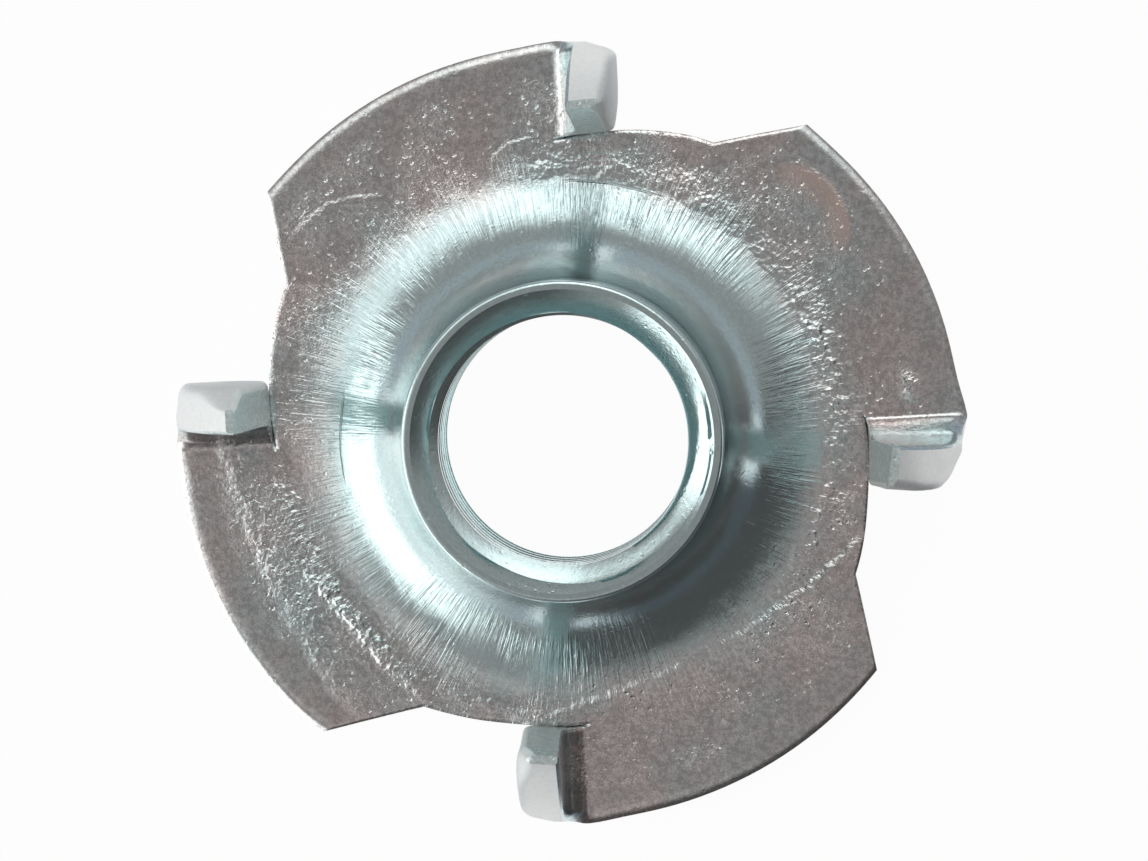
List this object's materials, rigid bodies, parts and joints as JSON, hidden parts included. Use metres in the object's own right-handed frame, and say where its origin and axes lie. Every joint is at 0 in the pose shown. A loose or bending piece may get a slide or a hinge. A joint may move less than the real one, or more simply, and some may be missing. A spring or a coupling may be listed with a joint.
{
  "type": "tee nut",
  "caption": "Pronged tee nut of zinc-plated sheet steel: round flange with folded-up prongs around a drawn, threaded barrel.",
  "frame": {"origin": "on the thread's axis, at the underside of the flange, which rests on the ground plane", "axes": "+Z along the barrel, out of its mouth; +Y along the fold line of one prong, +X along that of the next, clockwise from above"},
  "size_m": [0.022, 0.022, 0.011],
  "materials": {
    "zinc_steel": "clear zinc plating over drawn sheet steel: bright, with a faint blue tint, fine speckle and radial draw marks"
  },
  "bodies": {
    "root": {"tee_nut": "zinc_steel"}
  },
  "joints": []
}
